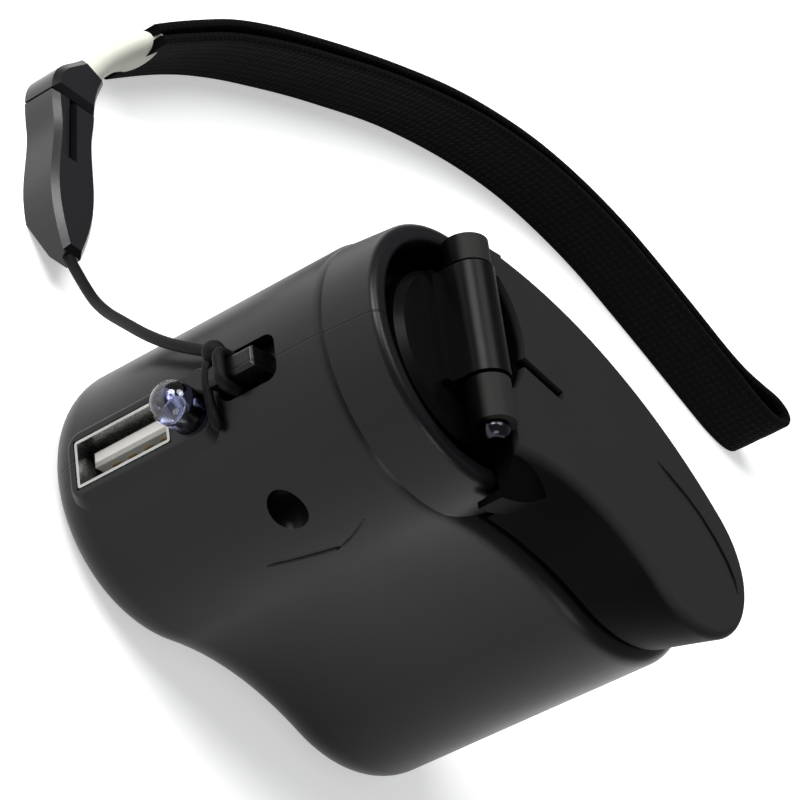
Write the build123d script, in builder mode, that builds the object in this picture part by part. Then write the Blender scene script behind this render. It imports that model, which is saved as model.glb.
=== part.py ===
from build123d import *
from math import acos, atan2, cos, degrees, hypot, pi, radians, sin, sqrt, tan
import os

# Hand crank phone charger: a bean shaped two-part case with a USB port and a lamp at its head,
# a fold-out crank arm on its side, a step-up gear train to a small generator inside,
# and a wrist strap. Millimetres. Z is the crank's axis, the case lies on its flat side, and X runs
# from the head towards the arm's free end.

# ---------------------------------------------------------------- case
head_radius = 16.2
tail_radius = 17.2
tail_x = 30.8
tail_y = -6.1
waist_radius = 38.0
back_radius = 60.0
corner_radius = 7.0
corner_angle = -12.0
body_height = 41.0
parting_y = -0.6
wall = 1.8
base_round = 5.0
top_round = 2.3
edge_search = 0.01

# ---------------------------------------------------------------- collar round the hub
collar_inner_radius = 13.0
collar_rim_radius = 15.4
collar_height = 5.2
collar_step = 0.15
collar_root_drop = 2.2
bush_wall = 1.6
bush_flange = 1.4
bush_flange_height = 0.5

# ---------------------------------------------------------------- hub and hinge
hub_radius = 10.4
hub_thickness = 3.6
hub_chamfer = 0.8
hub_gap = 0.9
hinge_x = -0.8
hinge_rise = 7.6
knuckle_radius = 2.75
knuckle_low_y = -4.7
knuckle_high_y = 8.7
knuckle_gap = 0.35
saddle_width = 7.6
saddle_height = 0.9
pin_radius = 1.0
pin_head_radius = 1.7
pin_head_length = 1.6
shaft_radius = 2.0
shaft_socket = 2.6
running_gap = 0.05

# ---------------------------------------------------------------- crank arm
arm_rise = 0.4
arm_top = 9.0
arm_root_inset = 1.0
arm_face_inset = 3.6
face_tail_x = 33.0
face_tail_y = -13.5
face_tail_radius = 10.5
face_corner_radius = 10.0
face_waist_radius = 28.0
arm_wall = 1.6
arm_face_thickness = 1.6
arm_edge_round = 0.9
arm_collar_gap = 0.5
arm_bridge_gap = 0.5
skirt_radius = 17.0
skirt_rise = 2.8
skirt_shoulder = 5.9
ear_radius = 2.55
low_ear_width = 5.1
high_ear_width = 3.2
ear_reach = 4.6
cut_radius = 9.8
cut_x = -4.3
cut_y = 2.2
slot_length = 7.0
slot_width = 1.4
slot_x = 4.8
slot_y = -0.6
slot_angle = -15.0

# ---------------------------------------------------------------- fold-out knob
knob_radius = 3.2
knob_length = 16.0
knob_play = 0.15
knob_round = 1.0
knob_pivot_x = 38.5
knob_y = -11.0
knob_rise = 3.85
spindle_radius = 1.2
spindle_head_radius = 2.0
spindle_head_height = 1.0
yoke_width = 5.0
yoke_radius = 2.6
yoke_reach = 3.4
lug_width = 1.6
lug_gap = 0.3
knob_pin_radius = 0.8

# ---------------------------------------------------------------- gear train
gear_module = 0.5
pressure_angle = 20.0
addendum = 0.75
dedendum = 1.0
backlash = 0.12
drive_teeth = 44
pinion_teeth = 12
first_teeth = 36
second_teeth = 28
gear_face = 3.0
gear_space = 0.6
first_angle = 2.0
second_angle = -58.0
third_angle = 8.0
axle_radius = 0.75
plate_thickness = 1.2
plate_gap = 0.5
plate_low_x = -5.0
ceiling_gap = 0.4
ledge_width = 1.3
ledge_height = 1.2
post_radius = 1.3
post_places = [(11.0, -10.8), (24.5, 6.4), (40.5, -8.0), (31.0, -18.2)]
clip_height = 0.6
clip_radius = 3.4
clip_groove = 0.4

# ---------------------------------------------------------------- generator
can_radius = 11.0
can_floor_z = 9.0
can_wall = 0.8
magnet_thickness = 1.6
rotor_gap = 0.4
rotor_share = 0.44
rotor_shaft_radius = 0.9
winding_share = 0.11
commutator_radius = 2.2
commutator_share = 0.16
end_cap_thickness = 1.6
brush_width = 1.4

# ---------------------------------------------------------------- USB port, lamp and board
usb_width = 13.1
usb_height = 5.7
usb_depth = 13.8
usb_sheet = 0.35
usb_y = -1.2
usb_z = 12.1
pad_face = 16.4
pad_width = 7.6
pad_low_z = 4.6
pad_top = 24.3
pad_corner = 1.6
pad_slope = 40.0
pad_round = 0.5
tongue_thickness = 1.84
tongue_width = 11.1
tongue_length = 8.4
tongue_rise = 0.92
tongue_setback = 1.65
contact_width = 1.0
contact_pitch = 2.3
contact_thickness = 0.2
port_gap = 0.15
board_thickness = 1.2
board_length = 24.0
board_room = 0.15
board_low_z = 3.2
board_setback = 3.0
lamp_radius = 2.45
lamp_flange = 0.3
lamp_z = 21.7
lamp_drop = 0.7
lamp_stand = 5.2
lead_size = 0.5
lead_pitch = 1.27
lead_reach = 3.0
capacitor_radius = 3.6
capacitor_length = 7.6
coil_radius = 3.0
coil_length = 4.0
wire_radius = 0.5
wire_drop = 2.8
board_rib_share = 0.48
chip_side = 4.9
chip_height = 1.5
chip_shapes = [(0.8, 1.0), (0.6, 0.33), (0.4, 0.6)]
chip_places = [(0.9, 0.3), (0.45, 0.15), (0.9, 0.75)]

# ---------------------------------------------------------------- strap bar and case screw
bar_low_z = 25.2
bar_length = 6.4
bar_width = 2.4
bar_thickness = 2.0
bar_proud = 1.6
leg_height = 1.4
pocket_depth = 2.3
pocket_width = 5.5
pocket_length = 7.9
pocket_wall = 1.1
pocket_corner = 1.5
screw_x = -8.9
screw_z = 27.2
screw_radius = 1.1
screw_head_radius = 1.9
screw_head_height = 1.3
screw_length = 11.0
recess_radius = 2.1
recess_depth = 5.0
boss_radius = 3.1

# ---------------------------------------------------------------- wrist strap
webbing_width = 10.0
webbing_thickness = 1.2
string_diameter = 1.3
knot_radius = 1.3
loop_rise = 2.6
loop_gap = 0.1
buckle_width = 7.1
buckle_height = 5.0
buckle_waist = 0.4
buckle_chamfer = 0.7
buckle_start = (-12.4, 28.2)
buckle_heading = 83.0
buckle_neck = 1.4
buckle_lift = 2.2
socket_length = 22.4
window_start = 13.0
window_width = 2.0
plug_reach = 15.0
plug_tongue_width = 4.2
plug_tongue_height = 2.4
plug_gap = 0.3
plug_length = 6.6
plug_side = 3.3
plug_turn = 21.0
plug_end_width = 3.9
lever_width = 0.8
sleeve_start_radius = 1.9
sleeve_half_height = 4.4
sleeve_half_width = 1.9
sleeve_bend = 3.6
sleeve_bend_heading = 45.0
sleeve_end = (2.0, 63.4)
sleeve_heading = 34.0
string_route = [
    (-17.35, 2.85, 26.4),
    (-17.6, 5.2, 22.4),
    (-17.1, 8.8, 18.0),
    (-15.5, 13.5, 13.4),
    (-13.4, 18.0, 9.0),
    (-12.2, 22.4, 5.9),
    (-12.3, 29.0, 3.4),
]
webbing_route = [
    (1.5, 62.1),
    (12.0, 68.2),
    (22.0, 72.6),
    (34.0, 76.4),
    (48.0, 80.2),
    (63.0, 83.2),
    (78.0, 84.2),
    (92.0, 82.4),
    (105.0, 78.0),
    (117.0, 71.6),
    (128.0, 65.6),
    (134.6, 61.9),
    (139.6, 60.9),
    (141.9, 63.2),
    (139.6, 65.3),
    (134.8, 65.9),
    (128.9, 67.3),
    (117.9, 73.3),
    (105.8, 79.7),
    (92.4, 84.3),
    (78.1, 86.1),
    (62.7, 85.1),
    (47.6, 82.0),
    (33.5, 78.2),
    (21.3, 74.4),
    (11.1, 69.9),
    (0.7, 63.5),
]

side_z = body_height
rim_z = side_z + collar_height
hub_low_z = side_z + hub_gap
hub_high_z = hub_low_z + hub_thickness
hinge_z = side_z + hinge_rise
arm_low_z = side_z + arm_rise
arm_top_z = side_z + arm_top
collar_root_radius = head_radius - collar_step
knob_z = side_z + knob_rise

os.makedirs("parts", exist_ok=True)


def polar(radius, angle):
    return (radius * cos(radians(angle)), radius * sin(radians(angle)))


def step(start, radius, angle):
    offset_x, offset_y = polar(radius, angle)
    return (start[0] + offset_x, start[1] + offset_y)


def heading(start, end):
    return degrees(atan2(end[1] - start[1], end[0] - start[0]))


def meet_below(centre_a, reach_a, centre_b, reach_b):
    """The point at reach_a from centre_a and reach_b from centre_b, to the right of a line from a to b."""
    span = hypot(centre_b[0] - centre_a[0], centre_b[1] - centre_a[1])
    along = (reach_a**2 - reach_b**2 + span**2) / (2 * span)
    return step(centre_a, reach_a, heading(centre_a, centre_b) - degrees(acos(along / reach_a)))


def bend_radii(points):
    """The easiest bend at each inner point that leaves a short straight in every run."""
    radii = []
    for before, here, after in zip(points, points[1:], points[2:]):
        inward = Vector(*here) - Vector(*before)
        outward = Vector(*after) - Vector(*here)
        turn = radians(inward.get_angle(outward))
        radii.append(0.45 * min(inward.length, outward.length) / tan(turn / 2))
    return radii


def save(built, name):
    built.part.label = name
    export_step(built.part, f"parts/{name}.step")


# ---------------------------------------------------------------- outline of the case
head = (0.0, 0.0)
tail = (tail_x, tail_y)


def outline_of(head_reach, tail_place, tail_reach, corner_reach, waist_reach, back_reach, inset):
    """A bean drawn in by inset: five tangent arcs round the head, the waist, the tail, its corner and the back."""
    corner = step(tail_place, tail_reach - corner_reach, corner_angle)
    waist = meet_below(head, head_reach + waist_reach, tail_place, tail_reach + waist_reach)
    back = meet_below(head, back_reach - head_reach, corner, back_reach - corner_reach)
    to_head = heading(back, head)
    to_corner = heading(back, corner)
    from_waist = heading(waist, head)
    to_tail = heading(waist, tail_place)
    head_turn = (heading(head, waist) - to_head) % 360
    tail_turn = (corner_angle - heading(tail_place, waist)) % 360
    with BuildSketch() as outline:
        with BuildLine():
            CenterArc(head, head_reach - inset, to_head, head_turn)
            CenterArc(waist, waist_reach + inset, to_tail, from_waist - to_tail)
            CenterArc(tail_place, tail_reach - inset, heading(tail_place, waist), tail_turn)
            CenterArc(corner, corner_reach - inset, corner_angle, to_corner - corner_angle)
            CenterArc(back, back_reach - inset, to_corner, to_head - to_corner)
        make_face()
    return outline.sketch


def bean(inset=0.0):
    """The case's outline, drawn in by inset."""
    return outline_of(head_radius, tail, tail_radius, corner_radius, waist_radius, back_radius, inset)


def arm_face(inset=0.0):
    """The outline of the arm's face, drawn in by inset: its tail is narrower and lies nearer the waist's side."""
    return outline_of(
        head_radius - arm_face_inset,
        (face_tail_x, face_tail_y),
        face_tail_radius,
        face_corner_radius,
        face_waist_radius,
        back_radius,
        inset,
    )


# ---------------------------------------------------------------- levels of the gearbox
ceiling_z = side_z - wall
top_plate_z = ceiling_z - ceiling_gap - plate_thickness
drive_z = top_plate_z - gear_space - gear_face
first_z = drive_z - gear_space - gear_face
second_z = first_z - gear_space - gear_face
low_plate_z = second_z - gear_space - plate_thickness
can_low_z = can_floor_z
can_length = low_plate_z - can_low_z
groove_z = low_plate_z - running_gap - clip_height
shaft_end_z = groove_z - clip_height


def pitch_radius(teeth):
    return gear_module * teeth / 2


def centre_distance(teeth_a, teeth_b):
    return pitch_radius(teeth_a) + pitch_radius(teeth_b)


first_axis = step(head, centre_distance(drive_teeth, pinion_teeth), first_angle)
second_axis = step(first_axis, centre_distance(first_teeth, pinion_teeth), second_angle)
rotor_axis = step(second_axis, centre_distance(second_teeth, pinion_teeth), third_angle)


def involute(angle):
    return tan(angle) - angle


def gear_face_sketch(teeth, turn):
    """A spur gear with involute flanks, with one tooth centred on turn (degrees)."""
    pitch = pitch_radius(teeth)
    base = pitch * cos(radians(pressure_angle))
    root = pitch - dedendum * gear_module
    tip = pitch + addendum * gear_module
    half_tooth = (pi * gear_module / 2 - backlash) / 2 / pitch
    points = []
    for tooth in range(teeth):
        middle = radians(turn) + 2 * pi * tooth / teeth
        flank = []
        for radius in (max(root, base), pitch, tip):
            spread = involute(radians(pressure_angle)) - involute(acos(min(1.0, base / radius)))
            flank.append((radius, half_tooth + spread))
        if root < base:
            flank.insert(0, (root, flank[0][1]))
        for radius, spread in flank:
            points.append((radius * cos(middle - spread), radius * sin(middle - spread)))
        for radius, spread in reversed(flank):
            points.append((radius * cos(middle + spread), radius * sin(middle + spread)))
    with BuildSketch() as outline:
        with BuildLine():
            Polyline(*points, close=True)
        make_face()
    return outline.sketch


def meshed_turn(driver_turn, driver_teeth, line, teeth):
    """Turn of a gear that meshes with a driver whose tooth points at driver_turn; line runs driver to gear."""
    return line + 180 + 180 / teeth - (driver_turn - line) * driver_teeth / teeth


# ---------------------------------------------------------------- the case, before it is parted
pocket_floor = head_radius - pocket_depth
pocket_low_z = bar_low_z + leg_height / 4
bush_radius = shaft_radius + bush_wall
board_y = usb_y + usb_height / 2
board_x = -pad_face + board_setback
inner_reach = head_radius - wall
lamp_y = usb_y - lamp_drop
flange_radius = lamp_radius + lamp_flange
lamp_flange_x = -sqrt(inner_reach**2 - (abs(lamp_y) + flange_radius) ** 2)

with BuildPart() as case:
    with BuildSketch():
        add(bean())
    extrude(amount=body_height)
    fillet(case.edges().group_by(Axis.Z)[0], base_round)
    fillet(case.edges().group_by(Axis.Z)[-1], top_round)
    # the flat pad round the port and the lamp
    with BuildSketch(Plane.YZ.offset(-pad_face)):
        with Locations((usb_y, (pad_low_z + pad_top) / 2)):
            RectangleRounded(pad_width, pad_top - pad_low_z, pad_corner)
    extrude(amount=pad_face - pocket_floor, taper=-pad_slope)
    pad_rim = case.edges().filter_by_position(Axis.X, -pad_face - edge_search, -pad_face + edge_search)
    fillet(pad_rim, pad_round)
    # the collar round the hub, tapered up to a rounded rim
    with BuildSketch(Plane.XZ):
        with BuildLine():
            Polyline(
                (collar_inner_radius, side_z - collar_root_drop),
                (collar_root_radius, side_z - collar_root_drop),
                (collar_rim_radius, rim_z),
                (collar_inner_radius, rim_z),
                close=True,
            )
        make_face()
    revolve(axis=Axis.Z)
    rim_edges = case.edges().filter_by_position(Axis.Z, rim_z - edge_search, rim_z + edge_search)
    fillet(rim_edges, (collar_rim_radius - collar_inner_radius) * 0.38)
    # the hollow, with walls of one thickness
    with BuildSketch(Plane.XY.offset(wall)):
        add(bean(wall))
    extrude(amount=body_height - 2 * wall, mode=Mode.SUBTRACT)
    hollow_floor = case.edges().filter_by_position(Axis.Z, wall - edge_search, wall + edge_search)
    fillet(hollow_floor, base_round - wall)
    # a ledge that carries the gear plates
    with BuildSketch(Plane.XY.offset(low_plate_z - ledge_height)):
        add(bean(wall / 2))
        add(bean(wall + ledge_width), mode=Mode.SUBTRACT)
    extrude(amount=ledge_height)
    # the block behind the strap pocket, and the pocket
    with BuildSketch(Plane.XY.offset(pocket_low_z - pocket_wall)):
        with Locations((-pocket_floor + pocket_wall, 0)):
            Rectangle(2 * pocket_wall, pocket_width + 2 * pocket_wall, align=(Align.MAX, Align.CENTER))
    extrude(amount=pocket_length + 2 * pocket_wall)
    with BuildSketch(Plane.YZ.offset(-pocket_floor)):
        with Locations((0, pocket_low_z + pocket_length / 2)):
            RectangleRounded(pocket_width, pocket_length, pocket_corner)
    extrude(amount=-pad_face, mode=Mode.SUBTRACT)
    # port and lamp holes through the pad
    with BuildSketch(Plane.YZ.offset(-pad_face)):
        with Locations((usb_y, usb_z)):
            Rectangle(usb_height + 2 * port_gap, usb_width + 2 * port_gap)
        with Locations((lamp_y, lamp_z)):
            Circle(lamp_radius + port_gap / 2)
    extrude(amount=pad_face - inner_reach + wall, mode=Mode.SUBTRACT)
    # room inside for the lamp's flange
    with BuildSketch(Plane.YZ.offset(lamp_flange_x)):
        with Locations((lamp_y, lamp_z)):
            Circle(flange_radius + port_gap)
    extrude(amount=lamp_flange * 2 + wall, mode=Mode.SUBTRACT)
    # the bush's hole
    with BuildSketch(Plane.XY.offset(ceiling_z)):
        Circle(bush_radius)
    extrude(amount=wall, mode=Mode.SUBTRACT)
    # two ribs that hold the board's lower edge
    with BuildSketch(Plane.XY.offset(wall / 2)):
        rib_x = board_x + board_length * 0.55
        with Locations((rib_x, board_y - wall / 2), (rib_x, board_y + board_thickness + wall / 2)):
            Rectangle(board_length * board_rib_share, wall * 0.96)
    extrude(amount=board_low_z + wall / 2)

# the boss for the case screw runs across the parting plane
boss_low_y = -sqrt(head_radius**2 - screw_x**2)
parting_plane = Plane.XZ.offset(-parting_y)

with BuildPart() as boss:
    with BuildSketch(Plane.XZ):
        with Locations((screw_x, screw_z)):
            Circle(boss_radius)
    extrude(amount=head_radius, both=True)
    with BuildSketch():
        add(bean(wall / 2))
    extrude(amount=body_height, mode=Mode.INTERSECT)

with BuildPart() as lower_shell:
    add(case.part)
    add(boss.part)
    split(bisect_by=parting_plane, keep=Keep.TOP)
    with BuildSketch(Plane.XZ.offset(-boss_low_y - recess_depth)):
        with Locations((screw_x, screw_z)):
            Circle(recess_radius)
    extrude(amount=head_radius, mode=Mode.SUBTRACT)
    with BuildSketch(parting_plane):
        with Locations((screw_x, screw_z)):
            Circle(screw_radius + running_gap)
    extrude(amount=head_radius, mode=Mode.SUBTRACT)
save(lower_shell, "lower_shell")

screw_head_y = boss_low_y + recess_depth
screw_tip_y = screw_head_y + screw_length

with BuildPart() as upper_shell:
    add(case.part)
    add(boss.part)
    split(bisect_by=parting_plane, keep=Keep.BOTTOM)
    with BuildSketch(Plane.XZ.offset(-screw_tip_y)):
        with Locations((screw_x, screw_z)):
            Circle(screw_radius)
    extrude(amount=screw_length, mode=Mode.SUBTRACT)
save(upper_shell, "upper_shell")

with BuildPart() as case_screw:
    with BuildSketch(Plane.XZ.offset(-screw_head_y)):
        with Locations((screw_x, screw_z)):
            Circle(screw_head_radius)
    extrude(amount=screw_head_height)
    fillet(case_screw.edges().sort_by(Axis.Y)[0], screw_head_height * 0.4)
    with BuildSketch(Plane.XZ.offset(-screw_head_y + screw_head_height)):
        with Locations((screw_x, screw_z)):
            Rectangle(screw_head_radius * 1.2, screw_head_radius * 0.28)
            Rectangle(screw_head_radius * 0.28, screw_head_radius * 1.2)
    extrude(amount=-screw_head_height * 0.6, mode=Mode.SUBTRACT)
    with BuildSketch(Plane.XZ.offset(-screw_tip_y)):
        with Locations((screw_x, screw_z)):
            Circle(screw_radius)
    extrude(amount=screw_length)
save(case_screw, "case_screw")

# ---------------------------------------------------------------- strap bar
bar_face = head_radius + bar_proud
with BuildPart() as strap_bar:
    with BuildSketch(Plane.XZ):
        with BuildLine():
            Polyline(
                (-bar_face, bar_low_z),
                (-head_radius - running_gap, pocket_low_z),
                (-pocket_floor, pocket_low_z),
                (-pocket_floor, bar_low_z + leg_height * 1.25),
                (-bar_face + bar_thickness, bar_low_z + leg_height * 1.25),
                (-bar_face + bar_thickness, bar_low_z + bar_length - leg_height),
                (-pocket_floor, bar_low_z + bar_length - leg_height),
                (-pocket_floor, bar_low_z + bar_length),
                (-bar_face, bar_low_z + bar_length),
                close=True,
            )
        make_face()
    extrude(amount=bar_width / 2, both=True)
    bar_edges = strap_bar.edges().filter_by_position(Axis.X, -bar_face - edge_search, -bar_face + edge_search)
    fillet(bar_edges, bar_width / 5)
save(strap_bar, "strap_bar")

# ---------------------------------------------------------------- USB port
with BuildPart() as usb_shell:
    with BuildSketch(Plane.YZ.offset(-pad_face)):
        with Locations((usb_y, usb_z)):
            RectangleRounded(usb_height, usb_width, usb_sheet)
            Rectangle(usb_height - 2 * usb_sheet, usb_width - 2 * usb_sheet, mode=Mode.SUBTRACT)
    extrude(amount=usb_depth)
    with BuildSketch(Plane.YZ.offset(-pad_face + usb_depth - usb_sheet)):
        with Locations((usb_y, usb_z)):
            Rectangle(usb_height - usb_sheet, usb_width - usb_sheet)
    extrude(amount=usb_sheet)
save(usb_shell, "usb_shell")

tongue_y = usb_y + tongue_rise
contact_y = tongue_y - tongue_thickness / 2
carrier_depth = usb_depth - usb_sheet - tongue_length - tongue_setback
carrier_x = -pad_face + usb_depth - usb_sheet - carrier_depth

with BuildPart() as usb_tongue:
    with BuildSketch(Plane.YZ.offset(carrier_x)):
        with Locations((usb_y, usb_z)):
            Rectangle(usb_height - 2 * usb_sheet - 2 * running_gap, usb_width - 2 * usb_sheet - 2 * running_gap)
    extrude(amount=carrier_depth)
    with BuildSketch(Plane.YZ.offset(carrier_x - tongue_length)):
        with Locations((tongue_y, usb_z)):
            Rectangle(tongue_thickness, tongue_width)
    extrude(amount=tongue_length)
    tip_edges = usb_tongue.edges().group_by(Axis.X)[0]
    chamfer(tip_edges, tongue_thickness * 0.2)
save(usb_tongue, "usb_tongue")

with BuildPart() as usb_contacts:
    with BuildSketch(Plane.XZ.offset(-contact_y)):
        with Locations((carrier_x - tongue_length * 0.45, usb_z)):
            with GridLocations(0, contact_pitch, 1, 4):
                Rectangle(tongue_length * 0.8, contact_width)
    extrude(amount=contact_thickness)
save(usb_contacts, "usb_contacts")

# ---------------------------------------------------------------- board and what it carries
board_top_z = min(shaft_end_z, screw_z - boss_radius) - board_room
board_width = board_top_z - board_low_z
with BuildPart() as circuit_board:
    with BuildSketch(Plane.XZ.offset(-board_y)):
        with Locations((board_x, board_low_z)):
            Rectangle(board_length, board_width, align=(Align.MIN, Align.MIN))
    extrude(amount=-board_thickness)
save(circuit_board, "circuit_board")

board_top_y = board_y + board_thickness
with BuildPart() as smoothing_capacitor:
    with BuildSketch(Plane.XZ.offset(-board_top_y)):
        with Locations((board_x + board_length * 0.66, board_low_z + board_width * 0.5)):
            Circle(capacitor_radius)
    extrude(amount=-capacitor_length)
    fillet(smoothing_capacitor.edges().group_by(Axis.Y)[-1], capacitor_radius * 0.12)
save(smoothing_capacitor, "smoothing_capacitor")

with BuildPart() as boost_coil:
    with BuildSketch(Plane.XZ.offset(-board_top_y)):
        with Locations((board_x + board_length * 0.3, board_low_z + board_width * 0.5)):
            Circle(coil_radius)
            Circle(coil_radius * 0.35, mode=Mode.SUBTRACT)
    extrude(amount=-coil_length)
save(boost_coil, "boost_coil")

with BuildPart() as board_chips:
    with BuildSketch(Plane.XZ.offset(-board_top_y)):
        for (size_x, size_z), (share_x, share_z) in zip(chip_shapes, chip_places):
            with Locations((board_x + board_length * share_x, board_low_z + board_width * share_z)):
                Rectangle(chip_side * size_x, chip_side * size_z)
    extrude(amount=-chip_height)
save(board_chips, "board_chips")

# ---------------------------------------------------------------- lamp
lamp_base_x = lamp_flange_x + 2 * lamp_flange
dome_x = -pad_face - lamp_stand + lamp_radius
with BuildPart() as lamp_lens:
    with BuildSketch(Plane.XY.offset(lamp_z)):
        with BuildLine():
            Polyline(
                (dome_x, lamp_y),
                (lamp_base_x, lamp_y),
                (lamp_base_x, lamp_y + flange_radius),
                (lamp_base_x - lamp_flange * 2, lamp_y + flange_radius),
                (lamp_base_x - lamp_flange * 2, lamp_y + lamp_radius),
                (dome_x, lamp_y + lamp_radius),
            )
            CenterArc((dome_x, lamp_y), lamp_radius, 90, 90)
            Line((dome_x - lamp_radius, lamp_y), (dome_x, lamp_y))
        make_face()
    revolve(axis=Axis((0, lamp_y, lamp_z), (1, 0, 0)))
save(lamp_lens, "lamp_lens")

with BuildPart() as lamp_leads:
    for side in (-1, 1):
        with BuildSketch(Plane.XY.offset(lamp_z + side * lead_pitch - lead_size / 2)):
            with Locations((lamp_base_x, lamp_y)):
                Rectangle(lead_reach, lead_size, align=(Align.MIN, Align.CENTER))
            with Locations((lamp_base_x + lead_reach, lamp_y - lead_size / 2)):
                Rectangle(lead_size, board_y - lamp_y + lead_size / 2, align=(Align.MAX, Align.MIN))
        extrude(amount=lead_size)
save(lamp_leads, "lamp_leads")

# ---------------------------------------------------------------- hub, shaft and drive gear
with BuildPart() as hub_disc:
    with BuildSketch(Plane.XY.offset(hub_low_z)):
        Circle(hub_radius)
    extrude(amount=hub_thickness)
    chamfer(hub_disc.edges().group_by(Axis.Z)[-1], hub_chamfer)
    knuckle_length = knuckle_high_y - knuckle_low_y
    knuckle_middle = (knuckle_high_y + knuckle_low_y) / 2
    with BuildSketch(Plane.XY.offset(hub_high_z - hub_chamfer)):
        with Locations((hinge_x, knuckle_middle)):
            Rectangle(saddle_width, knuckle_length)
    extrude(amount=saddle_height + hub_chamfer)
    with BuildSketch(Plane.XY.offset(hub_high_z)):
        with Locations((hinge_x, knuckle_middle)):
            Rectangle(2 * knuckle_radius, knuckle_length)
    extrude(amount=hinge_z - hub_high_z)
    with BuildSketch(Plane.XZ.offset(-knuckle_low_y)):
        with Locations((hinge_x, hinge_z)):
            Circle(knuckle_radius)
    extrude(amount=-knuckle_length)
    with BuildSketch(Plane.XZ.offset(-knuckle_low_y)):
        with Locations((hinge_x, hinge_z)):
            Circle(pin_radius + running_gap)
    extrude(amount=-knuckle_length, mode=Mode.SUBTRACT)
    with BuildSketch(Plane.XY.offset(hub_low_z)):
        Circle(shaft_radius)
    extrude(amount=shaft_socket, mode=Mode.SUBTRACT)
save(hub_disc, "hub_disc")

with BuildPart() as crank_shaft:
    with BuildSketch(Plane.XY.offset(shaft_end_z)):
        Circle(shaft_radius)
    extrude(amount=hub_low_z + shaft_socket - shaft_end_z)
    with BuildSketch(Plane.XY.offset(groove_z)):
        Circle(shaft_radius * 2)
        Circle(shaft_radius - clip_groove, mode=Mode.SUBTRACT)
    extrude(amount=clip_height, mode=Mode.SUBTRACT)
save(crank_shaft, "crank_shaft")

with BuildPart() as shaft_clip:
    with BuildSketch(Plane.XY.offset(groove_z)):
        Circle(clip_radius)
        Circle(shaft_radius - clip_groove, mode=Mode.SUBTRACT)
        with Locations((clip_radius / 2, 0)):
            Rectangle(clip_radius * 1.2, (shaft_radius - clip_groove) * 1.6, mode=Mode.SUBTRACT)
    extrude(amount=clip_height)
save(shaft_clip, "shaft_clip")

with BuildPart() as shaft_bush:
    with BuildSketch(Plane.XY.offset(ceiling_z)):
        Circle(bush_radius)
    extrude(amount=wall)
    with BuildSketch(Plane.XY.offset(side_z)):
        Circle(bush_radius + bush_flange)
    extrude(amount=bush_flange_height)
    with BuildSketch(Plane.XY.offset(ceiling_z)):
        Circle(shaft_radius + running_gap)
    extrude(amount=wall + bush_flange_height, mode=Mode.SUBTRACT)
save(shaft_bush, "shaft_bush")

drive_turn = 0.0
with BuildPart() as drive_gear:
    with BuildSketch(Plane.XY.offset(drive_z)):
        add(gear_face_sketch(drive_teeth, drive_turn))
        Circle(shaft_radius, mode=Mode.SUBTRACT)
    extrude(amount=gear_face)
    with BuildSketch(Plane.XY.offset(drive_z)):
        Circle(shaft_radius + bush_wall)
        Circle(shaft_radius, mode=Mode.SUBTRACT)
    extrude(amount=-gear_space / 2)
save(drive_gear, "drive_gear")


def idler(axis, pinion_turn, wheel_turn, wheel_teeth, pinion_z, wheel_z):
    """A wheel with a pinion on top, free on its axle."""
    plane = Plane(origin=(axis[0], axis[1], 0))
    with BuildPart() as built:
        with BuildSketch(plane.offset(pinion_z - gear_space)):
            add(gear_face_sketch(pinion_teeth, pinion_turn))
        extrude(amount=gear_face + gear_space)
        with BuildSketch(plane.offset(wheel_z)):
            add(gear_face_sketch(wheel_teeth, wheel_turn))
        extrude(amount=gear_face)
        with BuildSketch(plane.offset(wheel_z)):
            Circle(axle_radius + running_gap)
        extrude(amount=2 * gear_face + gear_space, mode=Mode.SUBTRACT)
    return built


first_pinion_turn = meshed_turn(drive_turn, drive_teeth, first_angle, pinion_teeth)
first_idler = idler(first_axis, first_pinion_turn, 0.0, first_teeth, drive_z, first_z)
save(first_idler, "first_idler")

second_pinion_turn = meshed_turn(0.0, first_teeth, second_angle, pinion_teeth)
second_idler = idler(second_axis, second_pinion_turn, 0.0, second_teeth, first_z, second_z)
save(second_idler, "second_idler")

# ---------------------------------------------------------------- gear plates, axles and posts
gearbox_height = top_plate_z - low_plate_z - plate_thickness


def gear_plate(low_z):
    with BuildPart() as built:
        with BuildSketch(Plane.XY.offset(low_z)):
            add(bean(wall + plate_gap))
            with Locations((plate_low_x, 0)):
                Rectangle(head_radius, 3 * head_radius, align=(Align.MAX, Align.CENTER), mode=Mode.SUBTRACT)
            Circle(shaft_radius + running_gap, mode=Mode.SUBTRACT)
            with Locations(first_axis, second_axis):
                Circle(axle_radius, mode=Mode.SUBTRACT)
            with Locations(rotor_axis):
                Circle(rotor_shaft_radius * 1.8, mode=Mode.SUBTRACT)
            with Locations(*post_places):
                Circle(post_radius / 2, mode=Mode.SUBTRACT)
        extrude(amount=plate_thickness)
    return built


lower_gear_plate = gear_plate(low_plate_z)
save(lower_gear_plate, "lower_gear_plate")
upper_gear_plate = gear_plate(top_plate_z)
save(upper_gear_plate, "upper_gear_plate")


def axle(axis):
    with BuildPart() as built:
        with BuildSketch(Plane.XY.offset(low_plate_z)):
            with Locations(axis):
                Circle(axle_radius)
        extrude(amount=top_plate_z + plate_thickness - low_plate_z)
    return built


save(axle(first_axis), "first_axle")
save(axle(second_axis), "second_axle")

with BuildPart() as plate_posts:
    with BuildSketch(Plane.XY.offset(low_plate_z + plate_thickness)):
        with Locations(*post_places):
            Circle(post_radius)
    extrude(amount=gearbox_height)
    with BuildSketch(Plane.XY.offset(low_plate_z)):
        with Locations(*post_places):
            Circle(post_radius / 2)
    extrude(amount=gearbox_height + 2 * plate_thickness)
save(plate_posts, "plate_posts")

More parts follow.
